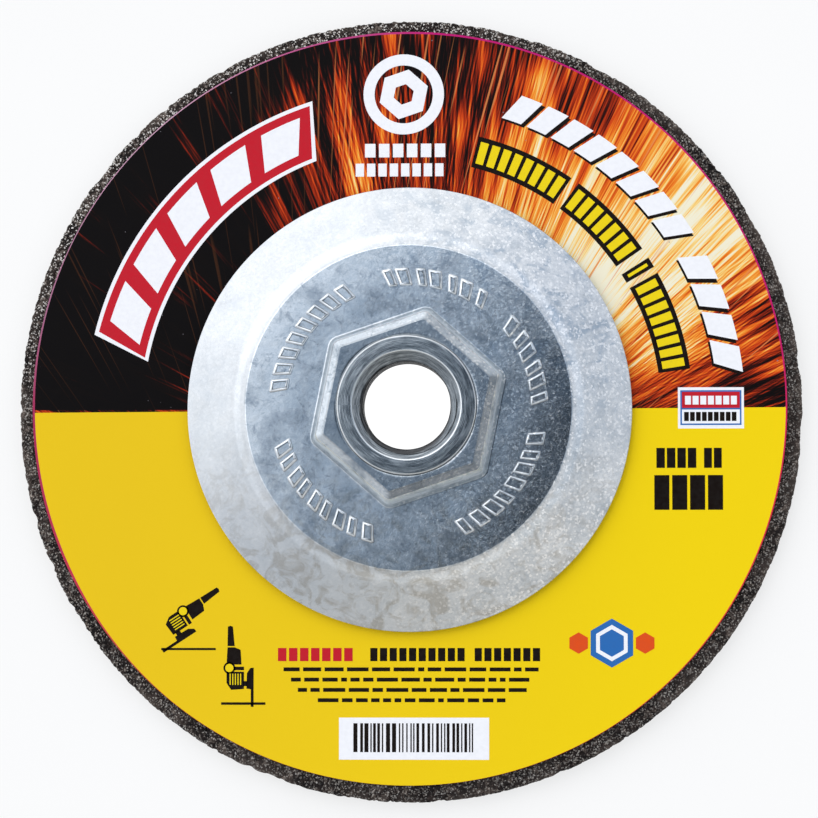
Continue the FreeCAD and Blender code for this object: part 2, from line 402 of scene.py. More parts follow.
masks = {name: add("MapRange", row) for name, *row in (
    ("frosted", x, -10.0, 22.0, 0.15, 1.0),
    ("upper", y, -8.0, 8.0),
    ("blots", blots, 0.50, 0.62, 0.0, 0.75),
    ("lower", y, -5.0, -26.0, 0.12, 1.0),
    ("stains", stains, 0.47, 0.62, 0.0, 0.55),
    ("plateau", z, 9.02, 9.20),
    ("tarnish", clouds, 0.48, 0.66, 0.0, 0.6),
    # painted shade: the plateau is darkened towards its right, below its upper part
    ("smoke", x, 9.0, 24.0, 0.0, 0.5),
    ("below smoke", y, 16.0, 3.0),
    ("scuffs", scuffs, 0.53, 0.68, 0.0, 0.5),
    # painted highlight on the tops of the raised marks
    ("ridges", z, 9.46, 9.56, 0.0, 0.35),
    ("pocket", from_axis, 17.9, 17.4),
    # painted shade: the two foot masks darken the crease at the foot of the walls
    ("above foot", z, 9.40, 9.43, 0.0, 0.6),
    ("at foot", z, 10.1, 9.5),
    ("above plateau", z, 9.42, 9.46),
    ("below bevel", z, 15.0, 14.7),
    ("bevel", z, 14.7, 15.0, 0.0, 0.5),
    ("below crown", z, 15.95, 15.8),
    ("crown", z, 15.7, 15.95, 0.0, 0.60),
    ("sparkle", crystal_shade.outputs[0], 0.72, 1.0, 0.0, 0.7),
)}
masks["chalk"] = 0.65
for name, operation, first, second in (
    ("calm", "SUBTRACT", 0.85, masks["frosted"]),
    ("off pocket", "SUBTRACT", 1.0, masks["pocket"]),
    ("smoke", "MULTIPLY", masks["smoke"], masks["below smoke"]),
    ("walls", "MULTIPLY", masks["above plateau"], masks["pocket"]),
):
    masks[name] = add("Math", [first, second], operation, use_clamp=name == "calm")
# Scuffs, and the painted shade at the right of the plateau.
masks["wear"] = add("Math", [masks["smoke"], masks["scuffs"]], "MAXIMUM")
masks["walls"] = add("Math", [masks["walls"], masks["below bevel"]], "MULTIPLY")
print("zinc masks", len(masks))

# %% [markdown]
# A second table lays one tint after another over the cloudy grey, each through the product of its masks.
# Clouds of noise also change the roughness, and cells of a third of a millimetre, drawn a little coarser than
# real crystals so that they show, tilt the surface by a degree or two each.

# %% Finish: zinc-plated steel, tints and surface
cloudiness = add("Mix", {"Factor": 0.45, "A": clouds, "B": frost}, data_type="FLOAT")
tint = add("ValToRGB", [cloudiness], stops=[
    (0.36, "#B4BBC2"), (0.45, "#C8CED4"), (0.54, "#D7DBDF"), (0.64, "#E6E9EC"),
])
for code, *names in (
    ("#CFD3D7", "calm"), ("#98A8B8", "blots", "frosted", "upper"), ("#A09A8E", "stains", "lower"),
    ("#7F8890", "crown"), ("#D3E0EA", "walls", "chalk"), ("#BEC9D3", "bevel", "below crown", "pocket"),
    # 626F7A along the foot of the walls is painted shade in the crease.
    ("#626F7A", "above foot", "at foot", "pocket"), ("#5F7284", "tarnish", "plateau"),
    # 55687A on the plateau: scuffs and painted shade at its right.
    # EEF1F4 on the raised marks: a painted highlight.
    ("#55687A", "wear", "plateau"), ("#EEF1F4", "ridges", "off pocket"), ("#FFFFFF", "sparkle", "frosted"),
):
    share, *others = [masks[name] for name in names]
    for mask in others:
        share = add("Math", [share, mask], "MULTIPLY")
    tint = add("Mix", {"Factor": share, "A": tint, "B": code}, data_type="RGBA")

polish = add("MapRange", [cloudiness, 0.35, 0.65, 0.16, 0.24])
polish = add("Mix", {"Factor": masks["walls"], "A": polish, "B": 0.8})
bare_metal = add("MapRange", {0: masks["walls"], 3: 1.0, 4: 0.30})
grain = add("Math", [frost, 1.6, crystal_shade.outputs[1]], "MULTIPLY_ADD")
frosting = add("Bump", {
    "Strength": add("Math", [masks["frosted"], 0.9], "MULTIPLY"),
    "Distance": 0.008 * MM, "Height": grain,
})
waves = add("Bump", {"Strength": 0.5, "Distance": 0.06 * MM, "Height": clouds, "Normal": frosting})
shader = add("BsdfPrincipled", {
    "Base Color": tint, "Metallic": bare_metal, "Roughness": polish, "Normal": waves,
})
add("OutputMaterial", [shader])
print("zinc crystals drawn at", CRYSTAL, "mm")

# %% [markdown]
# The nut is turned from steel bar and tapped, then blackened a little by oil. A lathe leaves fine grooves
# that run round the axis, so the pattern depends on the distance from the axis and on the height, never on
# the bearing. Its two upper edges are painted bright as highlights, and its bore is painted dark as shade.
# The washer is punched from strip: flatter, with a faint straight rolling grain.

# %% Finishes: turned steel and punched steel
FEED = 0.24  # mm from groove to groove; a real feed of about 0.1 mm would be lost between the pixels
COLLAR_EDGE, SINK_EDGE = 10.92, 8.65  # radii of the nut's two upper edges, painted bright as highlights
EDGE_HIGHLIGHT_REACH = 0.20  # mm to either side of such an edge

turned_steel, add, mm = start_material("turned_steel")
x, y, z, _, from_axis = disc_place(add, mm)
turning = add("Math", [from_axis, z], "ADD")
groove = add("Math", [turning, 2 * math.pi / FEED], "MULTIPLY")
groove = add("Math", [groove], "SINE")
bearing = add("Math", [y, x], "ARCTAN2")
swept = add("CombineXYZ", [turning, bearing, z])
stain = add("TexNoise", {"Vector": swept, "Scale": 3.2, "Detail": 4.0, "Roughness": 0.65})
tint = add("ValToRGB", [stain], stops=[
    (0.34, "#5C6268"), (0.46, "#737A80"), (0.56, "#878E94"), (0.70, "#B4BABF"),
])
# Painted highlights: a bright ring at each of the two upper edges.
for edge in (COLLAR_EDGE, SINK_EDGE):
    off_edge = add("Math", [from_axis, edge], "SUBTRACT")
    off_edge = add("Math", [off_edge], "ABSOLUTE")
    edge_band = add("MapRange", [off_edge, 0.0, EDGE_HIGHLIGHT_REACH, 0.9, 0.0])
    tint = add("Mix", {"Factor": edge_band, "A": tint, "B": "#EEF1F3"}, data_type="RGBA")
# Painted shade: inside the bore, below the countersink, the steel is mixed towards near black.
painted_bore_shade = add("MapRange", [z, 15.6, 15.2, 0.0, 0.8])
in_bore = add("Math", [from_axis, 8.5], "LESS_THAN")
painted_bore_shade = add("Math", [painted_bore_shade, in_bore], "MULTIPLY")
tint = add("Mix", {"Factor": painted_bore_shade, "A": tint, "B": "#33302F"}, data_type="RGBA")
polish = add("MapRange", [stain, 0.3, 0.7, 0.22, 0.34])
grooves = add("Bump", {"Strength": 0.5, "Distance": 0.006 * MM, "Height": groove})
shader = add("BsdfPrincipled", {"Base Color": tint, "Metallic": 1.0, "Roughness": polish, "Normal": grooves})
add("OutputMaterial", [shader])

punched_steel, add, mm = start_material("punched_steel")
rolling = add("Mapping", {"Vector": mm, "Scale": (0.25, 5.0, 1.0)})
grain = add("TexNoise", {"Vector": rolling, "Scale": 1.0, "Detail": 3.0})
tint = add("ValToRGB", [grain], stops=[(0.3, "#8E9499"), (0.5, "#B2B7BB"), (0.7, "#CFD2D5")])
polish = add("MapRange", [grain, 0.3, 0.7, 0.28, 0.45])
rolled = add("Bump", {"Strength": 0.4, "Distance": 0.01 * MM, "Height": grain})
shader = add("BsdfPrincipled", {"Base Color": tint, "Metallic": 1.0, "Roughness": polish, "Normal": rolled})
add("OutputMaterial", [shader])
print("grooves every", FEED, "mm")

# %% [markdown]
# Nearly every piece is a ring about the disc's axis, so one way of making meshes serves them all. An outline
# of radius and height runs outwards over the top, down the rim, inwards below and up through the hole. Each
# point of it becomes a ring of vertices, and neighbouring rings are joined by quads, the last one with the
# first: a closed skin with no seam and no stray face. Because each ring may be any closed curve, the same
# function also makes a pocket that starts as a circle and turns into a hexagon, and the slabs of the print.

# %% Mesh helpers
def add_piece(name, points, faces, material, replaced=None, smooth=True):
    """A mesh from points in millimetres, which rides on the one body."""
    mesh = bpy.data.meshes.new(name)
    mesh.from_pydata((np.asarray(points, float) * MM).tolist(), [], faces)
    mesh.materials.append(material)
    mesh.polygons.foreach_set("use_smooth", np.full(len(faces), smooth, bool))
    mesh.update()
    piece = bpy.data.objects.new(name, mesh)
    bpy.context.collection.objects.link(piece)
    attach(piece, "root")
    if replaced:
        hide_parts(replaced)
    print(name, "faces", len(mesh.polygons))


def ring_faces(rings, segments):
    """Quads between neighbouring rings of vertices, round and round."""
    faces = []
    for ring in range(rings):
        here, there = ring * segments, (ring + 1) % rings * segments
        for at in range(segments):
            after = (at + 1) % segments
            faces.append((here + at, there + at, there + after, here + after))
    return faces


def bearings_round(count):
    """That many bearings, evenly round the axis."""
    return np.linspace(0, 2 * math.pi, count, endpoint=False)


def spot(radius, bearing, *height):
    """Point at that radius and bearing, with its height if it has one."""
    return (radius * math.cos(bearing), radius * math.sin(bearing), *height)


def round_corner(before, corner, after, rounding, steps=5, guard=0.0):
    """Arc of (radius, height) points that rounds one corner, with guard points just outside its ends."""
    before, corner, after = Vector(before), Vector(corner), Vector(after)
    back, ahead = (before - corner).normalized(), (after - corner).normalized()
    half = back.angle(ahead) / 2
    centre = corner + (back + ahead).normalized() * rounding / math.sin(half)
    start = corner + back * rounding / math.tan(half) - centre
    end = corner + ahead * rounding / math.tan(half) - centre
    first = math.atan2(start.y, start.x)
    turn = (math.atan2(end.y, end.x) - first + math.pi) % (2 * math.pi) - math.pi
    arms = [first + turn * step / steps for step in range(steps + 1)]
    arc = [(centre.x + rounding * math.cos(arm), centre.y + rounding * math.sin(arm)) for arm in arms]
    if guard:
        reach = rounding / math.tan(half) + guard
        arc = [tuple(corner + back * reach)] + arc + [tuple(corner + ahead * reach)]
    return arc


def run(start, end, longest):
    """Points after start and before end, no further apart than longest."""
    steps = max(1, math.ceil(math.dist(start, end) / longest))
    return [tuple(Vector(start).lerp(Vector(end), step / steps)) for step in range(1, steps)]


def rounded(corners, longest=1e9, **arc):
    """Closed outline from (radius, height, rounding) corners, its long runs divided."""
    points = []
    for at, (radius, height, rounding) in enumerate(corners):
        before, after = corners[at - 1][:2], corners[(at + 1) % len(corners)][:2]
        corner = (radius, height)
        points += round_corner(before, corner, after, rounding, **arc) if rounding else [corner]
    result = []
    for here, there in zip(points, points[1:] + points[:1]):
        result += [here] + run(here, there, longest)
    return result


def hexagon_radius(bearings, apothem, rounding):
    """Radius of a rounded hexagon at each bearing from a corner. With rounding = apothem it is a circle."""
    off = np.abs((bearings + math.pi / 6) % (math.pi / 3) - math.pi / 6)
    centre = (apothem - rounding) / math.cos(math.pi / 6)
    flat = apothem / np.cos(math.pi / 6 - off)
    arc = centre * np.cos(off) + np.sqrt(np.maximum(rounding ** 2 - (centre * np.sin(off)) ** 2, 0))
    tangent = math.atan2(rounding / 2, centre + rounding * math.cos(math.pi / 6))
    return np.where(off < tangent, arc, flat)


# %% [markdown]
# The moulded disc. Its CAD node is smooth, and the real one is all grain: its rim is ragged, and its bare
# border sparkles. Displacing one dense mesh in code gives real relief, at the grain's true size. Grains are
# again Voronoi cells, each one a dome with its own height, and they only ever take material away, so the
# disc keeps its CAD size. The rim is shaded flat, face by face, because broken grain is faceted.

# %% Abrasive wheel: outline
WHEEL_RADIUS = 62.9
WHEEL_THICKNESS = 3.2
DISH_RISE = 4.6
ARBOR_RADIUS = 11.11
SLOPE = math.atan2(DISH_RISE, RECESS_MOUTH - RECESS_RADIUS)


def shifted(radius, offset):
    """Where a shoulder or a foot of the dish lies on the surface offset above the work side."""
    return radius + offset * math.tan(SLOPE / 2)


shoulder = (shifted(RECESS_RADIUS, WHEEL_THICKNESS), DISH_RISE + WHEEL_THICKNESS)
foot = (shifted(RECESS_MOUTH, WHEEL_THICKNESS), WHEEL_THICKNESS)
hidden = [(ARBOR_RADIUS, shoulder[1]), shoulder, foot, (LABEL_RADIUS - 0.75, WHEEL_THICKNESS)]
border = [(radius, WHEEL_THICKNESS) for radius in np.linspace(LABEL_RADIUS - 0.65, WHEEL_RADIUS - 0.35, 8)]
rim = [(WHEEL_RADIUS - 0.07, 3.12)] + [(WHEEL_RADIUS - 0.02, height) for height in np.linspace(2.85, 0.35, 9)]
rim += [(WHEEL_RADIUS - 0.11, 0.12)]
face = [(WHEEL_RADIUS - 0.35 - 0.32 * step - 0.021 * step ** 2, 0.0) for step in range(29)]
mouth = round_corner((60.0, 0.0), (RECESS_MOUTH, 0.0), (RECESS_RADIUS, DISH_RISE), 1.5)
ceiling_start, ceiling_end = (RECESS_RADIUS, DISH_RISE), (ARBOR_RADIUS, DISH_RISE)
recess = mouth + run(mouth[-1], ceiling_start, 1.6) + [ceiling_start]
recess += run(ceiling_start, ceiling_end, 2.4) + [ceiling_end]
outline = np.array(hidden + border + rim + [at for at in face if at[0] > mouth[0][0] + 0.3] + recess)
print("wheel outline of", len(outline), "points, last of the face at", round(face[-1][0], 1))

# %% [markdown]
# Each point of the outline gets a share of the grain: the rim the most, with a slow waviness that makes the
# silhouette uneven, the bare border less, the work face a little. The points of the rim are also shaken
# sideways, so that no grid shows.

# %% Abrasive wheel: grain
WHEEL_SEGMENTS = 1180
GRAIN_RELIEF = {"hidden": 0.0, "border": 0.45, "rim": 0.78, "face": 0.22, "recess": 0.14}  # mm
PLAIN_RINGS = 3  # of the outline by the arbor hole, where the washer covers them


def grain_depth(point):
    """How far the grit lies below its outermost skin there, from 0 to 1."""
    distances, cells = noise.voronoi(point / GRAIN)
    own_height = abs(noise.cell(cells[0] * 7.3))
    return max(0.0, 0.5 * own_height + 0.7 * min(1.0, 1.1 * distances[0]) - 0.48)


random.seed(27)
ahead, behind = np.roll(outline, -1, axis=0), np.roll(outline, 1, axis=0)
along = (ahead - behind) / np.linalg.norm(ahead - behind, axis=1)[:, None]
share = np.zeros(len(outline))
share[len(hidden):] = GRAIN_RELIEF["border"]
share[len(hidden)] = 0.08
share[len(hidden) + len(border):] = GRAIN_RELIEF["rim"]
share[len(hidden) + len(border) + len(rim):] = GRAIN_RELIEF["face"]
share[-len(recess):] = GRAIN_RELIEF["recess"]
share[-PLAIN_RINGS:] = GRAIN_RELIEF["hidden"]
shaken = (share > GRAIN_RELIEF["face"]) * 1.0

points = []
step = 2 * math.pi / WHEEL_SEGMENTS
for (radius, height), (dr, dz), relief, shake in zip(outline, along, share, shaken):
    for at in range(WHEEL_SEGMENTS):
        bearing = step * (at + shake * random.uniform(-0.35, 0.35))
        z = height + shake * random.uniform(-0.07, 0.0) * (height > 1.6)
        place = Vector(spot(radius, bearing, z))
        depth = relief * grain_depth(place) if relief else 0.0
        if shake:
            level = Vector((place.x, place.y, 0.3 * z))
            wave = noise.noise(level / 7.0) + 0.8 * noise.noise(level / 2.2 + Vector((40, 0, 0)))
            depth += relief * 0.9 * max(0.0, wave - 0.32)
        points.append(spot(radius + dz * depth, bearing, max(z - dr * depth, 0.0)))
smooth = [not (len(hidden) <= ring < len(hidden) + len(border) + len(rim)) for ring in range(len(outline))]
add_piece("abrasive_disc", points, ring_faces(len(outline), WHEEL_SEGMENTS), abrasive,
          "abrasive_wheel", np.repeat(smooth, WHEEL_SEGMENTS))

# %% [markdown]
# The label is a ring of paper that follows the disc's back from near the rim to under the flange. The one on
# the real disc was stuck on half a millimetre off the axis, which leaves the bare border narrow at the top
# and wide below. So its outer edge gets a centre of its own, and the rest follows the CAD solid. Its faces
# are shaded flat, because paper this thin has sharp edges.

# %% Paper label
LABEL_THICKNESS = 0.2
LABEL_HOLE = 15.0
LABEL_SEGMENTS = 360


def label_side(offset):
    """Outline of one side of the paper, from its hole to its edge."""
    return [(LABEL_HOLE, DISH_RISE + offset), (shifted(RECESS_RADIUS, offset), DISH_RISE + offset),
            (shifted(RECESS_MOUTH, offset), offset), (LABEL_RADIUS, offset)]


outline = label_side(WHEEL_THICKNESS + LABEL_THICKNESS) + label_side(WHEEL_THICKNESS)[::-1]
points = []
for radius, height in outline:
    x, y = LABEL_CENTRE[:2] if radius == LABEL_RADIUS else (0.0, 0.0)
    for bearing in bearings_round(LABEL_SEGMENTS):
        points.append((x + radius * math.cos(bearing), y + radius * math.sin(bearing), height))
add_piece("label_sheet", points, ring_faces(len(outline), LABEL_SEGMENTS), paper,
          "paper_label", smooth=False)

# %% [markdown]
# Inks lie on the paper as very thin closed slabs, a few hundredths of a millimetre high, one mesh for each
# colour and layer. Drawing them as shapes keeps every edge crisp at any distance. Where the real label has
# words and signs, this one has plain blocks and simple figures of the same colours and weight.

# %% Print helpers
INK_LOW, INK_HIGH = 0.022, 0.040  # mm above the paper, for the first and the second layer
INK_SUNK = 0.01  # mm that the slabs reach into the paper


def bar(x0, y0, x1, y1):
    """Upright rectangle between two corners."""
    return [(x0, y0), (x1, y0), (x1, y1), (x0, y1)]


def arc_bar(inner, outer, start, end, slant=0.0):
    """Part of a ring between two bearings in degrees; slant turns its outer edge ahead of the inner one."""
    bearings = np.radians(np.linspace(start, end, max(2, math.ceil(abs(end - start) / 1.5)) + 1))
    turn = math.radians(slant)
    return [spot(inner, a) for a in bearings] + [spot(outer, a + turn) for a in bearings[::-1]]


def polygon(x, y, radius, sides, turn=0.0):
    """Regular polygon, or a circle if it has many sides."""
    bearings = [math.radians(turn) + 2 * math.pi * k / sides for k in range(sides)]
    return [(x + radius * math.cos(a), y + radius * math.sin(a)) for a in bearings]


def row(x0, x1, y0, y1, width, gap):
    """Equal blocks side by side, as many as fit between x0 and x1."""
    count = int((x1 - x0 + gap + 1e-6) / (width + gap))
    return [bar(x, y0, x + width, y1) for x in (x0 + k * (width + gap) for k in range(count))]


def arc_row(inner, outer, start, end, count, gap, slant=0.0):
    """Equal blocks along an arc, with gaps in degrees between them."""
    width = (start - end - gap * (count - 1)) / count
    firsts = [start - k * (width + gap) for k in range(count)]
    return [arc_bar(inner, outer, first, first - width, slant) for first in firsts]


def print_shapes(name, shapes, ink, height):
    """One mesh of thin slabs. A shape is one outline, or a pair of outlines for a frame."""
    points, faces = [], []
    for shape in shapes:
        loops = shape if isinstance(shape[0][0], (tuple, list)) else [shape]
        count, first = len(loops[0]), len(points)
        rings = [(loops[0], height), (loops[0], -INK_SUNK), (loops[-1], -INK_SUNK), (loops[-1], height)]
        rings = rings[:2 * len(loops)]
        for loop, rise in rings:
            area = sum(a[0] * b[1] - b[0] * a[1] for a, b in zip(loop, loop[1:] + loop[:1]))
            points += [(x, y, LABEL_HEIGHT + rise) for x, y in (loop if area > 0 else loop[::-1])]
        sides = ring_faces(len(rings), count)
        if len(loops) == 1:
            sides = sides[:count] + [range(count), range(2 * count - 1, count - 1, -1)]
        faces += [[first + k for k in side] for side in sides]
    add_piece(name, points, faces, inks[ink], smooth=False)


# %% [markdown]
# The dark half. At the left a red ribbon with a white edge and slanted white blocks follows the rim. At the
# top stands a plain picture of a disc with a nut in it, over two rows of blocks. At the right, slanted white
# dashes with a dark shadow and black bands with yellow blocks follow the rim in two arcs.

# %% Print on the dark half
EMBLEM = (-0.95, 50.9)
black_low, white_low = [], [arc_bar(42.9, 52.3, 169.5, 110.5, -3.0)]
red_mid = [arc_bar(43.5, 51.7, 168.8, 111.2, -3.0)]
white_high = arc_row(44.8, 50.4, 166.4, 113.6, 5, 3.4, -3.0)

white_low += [
    [polygon(*EMBLEM, 6.5, 64), polygon(*EMBLEM, 4.7, 64)],
    [polygon(*EMBLEM, 4.1, 6, 18.7), polygon(*EMBLEM, 1.7, 6, 18.7)],
]
white_low += row(-7.2, 5.8, 40.7, 42.9, 1.7, 0.55) + row(-8.7, 7.2, 37.6, 39.7, 1.35, 0.48)

for start, end, count in ((72.5, 34.0, 8), (29.5, 8.5, 4)):
    white_high += arc_row(49.3, 53.7, start, end, count, 1.1, -2.2)
    black_low += arc_row(48.95, 53.4, start - 0.35, end - 0.45, count, 0.75, -2.2)

yellow_high = []
for start, end, count in ((75.8, 55.0, 8), (53.2, 34.6, 7), (32.4, 30.2, 1), (28.8, 8.2, 8)):
    black_low.append(arc_bar(40.3, 45.4, start, end))
    yellow_high += arc_row(41.05, 44.65, start - 0.75, end + 0.75, count, 0.8)
print("shapes on the dark half", len(white_low + red_mid + white_high + black_low + yellow_high))

# %% [markdown]
# The yellow half: a small boxed field at the right, two rows of blocks below it, a blue badge between two
# orange ones, thin rows of dashes under a red and a black heading, a white panel of upright bars,
# and two little pictures of a hand grinder at work, one held aslant and one upright.

# %% Print on the yellow half
white_low.append(bar(42.97, -3.15, 53.5, 3.45))
blue_mid = [[bar(43.35, -2.6, 53.1, 2.98), bar(43.6, -2.35, 52.85, 2.73)], bar(43.6, -0.1, 52.85, 0.14)]
red_mid.append(bar(43.6, 0.14, 52.85, 2.73))
white_high += row(44.1, 52.4, 0.68, 2.08, 0.95, 0.27)
black_high = row(43.95, 52.8, -1.95, -0.5, 0.75, 0.2)

black_low += row(39.5, 45.9, -9.45, -6.25, 1.35, 0.32) + row(47.1, 50.0, -9.45, -6.25, 1.25, 0.32)
black_low += row(39.15, 50.2, -16.15, -10.6, 2.4, 0.45)

BADGE = (32.3, -37.4)
blue_mid.append(polygon(*BADGE, 3.9, 6, 30))
orange_high = [polygon(BADGE[0] + side * 5.3, BADGE[1], 1.7, 6, 30) for side in (-1, 1)]
white_high.append([polygon(*BADGE, 2.9, 6, 30), polygon(*BADGE, 2.2, 6, 30)])

HEADING = (-40.3, -38.2)
red_mid += row(-21.1, -7.4, *HEADING, 1.35, 0.42)
black_low += row(-6.3, 8.9, *HEADING, 1.15, 0.40) + row(10.4, 21.7, *HEADING, 1.15, 0.40)
random.seed(5)
for line, (start, end) in enumerate(((-20.2, 20.9), (-19.0, 19.3), (-17.9, 18.7), (-14.7, 15.3))):
    top, at = -41.3 - 1.64 * line, start
    while at < end - 0.8:
        length = min(random.uniform(0.9, 3.6), end - at)
        black_low.append(bar(at, top - 0.62, at + length, top))
        at += length + 0.55

white_low.append(bar(-11.3, -56.0, 12.7, -49.3))
at = -9.0
while at < 10.2:
    width = random.choice((0.22, 0.22, 0.44, 0.66))
    black_high.append(bar(at, -54.8, at + width, -50.2))
    at += width + random.choice((0.22, 0.30, 0.44))


def grinder(x, y, turn):
    """Black and yellow shapes of a small hand grinder: handle along its own +x, disc on its -y side."""
    solid = [
        [(3.3, 0.1), (6.4, 0.4), (6.55, 0.8), (6.4, 1.2), (3.3, 1.25)],
        [(0.35, -1.0), (2.7, -0.85), (3.1, 0.1), (3.1, 1.25), (0.35, 1.4)],
        bar(-0.55, -1.4, 0.0, 0.9),
        [(-3.55, -1.4), (-0.8, -1.4), (-0.8, 1.4), (-2.6, 1.4), (-3.7, 0.65)],
        bar(-3.1, -1.9, -2.3, -1.3),
        [(-3.65, -2.95), (-0.15, -2.95), (-0.2, -2.4), (-1.05, -1.87), (-3.5, -1.8)],
        bar(-6.4, -2.95, -3.6, -2.5),
    ]
    spare = [bar(-2.9, level, -1.1, level + 0.17) for level in (-0.95, -0.53, -0.11, 0.31, 0.73)]
    black, yellow = [*solid, polygon(-0.2, 0.95, 0.95, 28)], [*spare, polygon(-0.2, 0.95, 0.66, 28)]
    c, s = math.cos(math.radians(turn)), math.sin(math.radians(turn))
    return [[[(x + c * u - s * v, y + s * u + c * v) for u, v in shape] for shape in group]
            for group in (black, yellow)]


for x, y, turn, ground in ((-35.7, -33.0, 33.0, bar(-39.86, -38.55, -31.1, -38.2)),
                           (-27.95, -41.2, 90.0, bar(-30.2, -47.28, -23.1, -46.88))):
    black, yellow = grinder(x, y, turn)
    black_low += black + [ground]
    yellow_high += yellow
print("black shapes", len(black_low + black_high), "yellow shapes", len(yellow_high))

# %% [markdown]
# Now each colour becomes one piece. Lower layers end below the upper ones, so no two faces share a plane.

# %% Print the inks
print_shapes("print_black", black_low, "black_ink", 0.8 * INK_LOW)
print_shapes("print_white", white_low, "white_ink", INK_LOW)
print_shapes("print_red", red_mid, "red_ink", 1.3 * INK_LOW)
print_shapes("print_blue", blue_mid, "blue_ink", 1.3 * INK_LOW)
print_shapes("print_orange", orange_high, "orange_ink", 0.9 * INK_HIGH)
print_shapes("print_yellow", yellow_high, "yellow_ink", INK_HIGH)
print_shapes("print_white_over", white_high, "white_ink", INK_HIGH)
print_shapes("print_black_over", black_high, "black_ink", INK_HIGH)

# %% [markdown]
# The back flange is the piece that takes the most skill to press: from one flat sheet it gets a drafted
# hexagonal pocket, a flat plateau and a conical skirt. Its mesh is a stack of rings again. The outer skin
# starts as a circle at the collar, turns into a hexagon with tight corners on the wall, and melts back into a
# circle where the wall flares into the plateau. The inner skin does the same one sheet thickness below, so
# the sheet stays evenly thick. Real pressings aren't quite flat, so both skins wander by a few hundredths.

# %% Back flange: outlines of both skins
SHEET = 1.4
HEXAGON_TURN = math.radians(18.7)
DRAFT = math.radians(4.0)
NUT_FLATS = 23.8
POCKET_DEPTH = 6.6
PLATEAU = DISH_RISE + WHEEL_THICKNESS + LABEL_THICKNESS + SHEET
CEILING = PLATEAU - SHEET + POCKET_DEPTH
CROWN = CEILING + SHEET
COLLAR_RADIUS = 11.0
COLLAR_HOLE = COLLAR_RADIUS + 0.05
NUT_CLEARANCE = 0.15
CEILING_APOTHEM = NUT_FLATS / 2 + NUT_CLEARANCE
CROWN_APOTHEM = CEILING_APOTHEM + SHEET / math.cos(DRAFT) - SHEET * math.tan(DRAFT)
CROWN_BEVEL = 1.34
SKIRT_MARGIN = 0.1  # between the skirt's lower edge and the foot of the dish

seat = WHEEL_THICKNESS + LABEL_THICKNESS
inner_shoulder = (shifted(RECESS_RADIUS, seat), DISH_RISE + seat)
skirt_inner = (shifted(RECESS_MOUTH, seat) - SKIRT_MARGIN, seat + SKIRT_MARGIN * math.tan(SLOPE))
skirt_outer = (skirt_inner[0] + SHEET * math.sin(SLOPE), skirt_inner[1] + SHEET * math.cos(SLOPE))
outer_shoulder = (shifted(RECESS_RADIUS, seat + SHEET), PLATEAU)
wall_foot = CROWN_APOTHEM + (CROWN - PLATEAU) * math.tan(DRAFT)
pocket_foot = CEILING_APOTHEM + (CEILING - inner_shoulder[1]) * math.tan(DRAFT)

sheet_outline = rounded([
    (COLLAR_HOLE, CROWN, 0.12), (CROWN_APOTHEM - CROWN_BEVEL, CROWN, 0.18),
    (CROWN_APOTHEM + 0.02, CROWN - 1.2, 0.9), (wall_foot, PLATEAU, 0.7),
    (*outer_shoulder, 0.6), (*skirt_outer, 0.2), (*skirt_inner, 0.15), (*inner_shoulder, 0),
    (pocket_foot, inner_shoulder[1], 2.5), (CEILING_APOTHEM, CEILING, 0.1), (COLLAR_HOLE, CEILING, 0),
], longest=0.9, steps=8, guard=0.05)
print("flange outline of", len(sheet_outline), "points; across the crown's flats",
      round(2 * CROWN_APOTHEM, 2), "mm")

# %% Back flange: rings
FLANGE_SEGMENTS = 720
DOME = 0.20  # mm by which the pressed plateau falls away at its edge
DOME_START = 16.5  # radius from which it does
circle_in, circle_out = [(COLLAR_HOLE, COLLAR_HOLE)], [(18.0, 18.0), (40.0, 40.0)]
outer_rounding = circle_in + [(11.7, 0.3), (13.3, 1.2), (13.9, 1.4), (14.9, 2.6)] + circle_out
inner_rounding = circle_in + [(11.8, 0.6), (12.1, 0.6), (12.6, 0.8), (15.2, 3.6)] + circle_out


def dome_fall(radius):
    """How far the plateau lies below its middle at that radius."""
    return DOME * max(0.0, (radius - DOME_START) / (outer_shoulder[0] - DOME_START)) ** 2


bearings = bearings_round(FLANGE_SEGMENTS)
skirt_at = min(range(len(sheet_outline)), key=lambda k: sheet_outline[k][1])

points = []
for at, (apothem, height) in enumerate(sheet_outline):
    table = outer_rounding if at < skirt_at else inner_rounding
    rounding = min(apothem, np.interp(apothem, *zip(*table)))
    radii = hexagon_radius(bearings, apothem, rounding)
    fall = dome_fall(apothem) * (apothem < outer_shoulder[0] + 1)
    for bearing, radius in zip(bearings + HEXAGON_TURN, radii):
        x, y = spot(radius, bearing)
        wander = 0.03 * (noise.noise(Vector((x, y, 0)) / 5.5) - 0.5) if 15.0 < apothem < 34.5 else 0.0
        points.append((x, y, height + wander - fall))
add_piece("flange_sheet", points, ring_faces(len(sheet_outline), FLANGE_SEGMENTS), zinc,
          "back_flange")

# %% [markdown]
# A ring of small raised marks is embossed on the plateau, as fine ridges about half a millimetre wide. On
# this part they are plain outlined blocks in groups. Each ridge is a closed tube along a small rounded
# rectangle, bent to the ring, with its lower half sunk into the sheet.

# %% Raised marks
MARK_RADIUS = 20.85
MARK_HEIGHT, MARK_GAP = 2.45, 1.15  # mm along the radius, and from one mark to the next
RIDGE_SECTION = ((-0.30, -0.08), (-0.25, 0.12), (-0.10, 0.28), (0.10, 0.28), (0.25, 0.12), (0.30, -0.08))


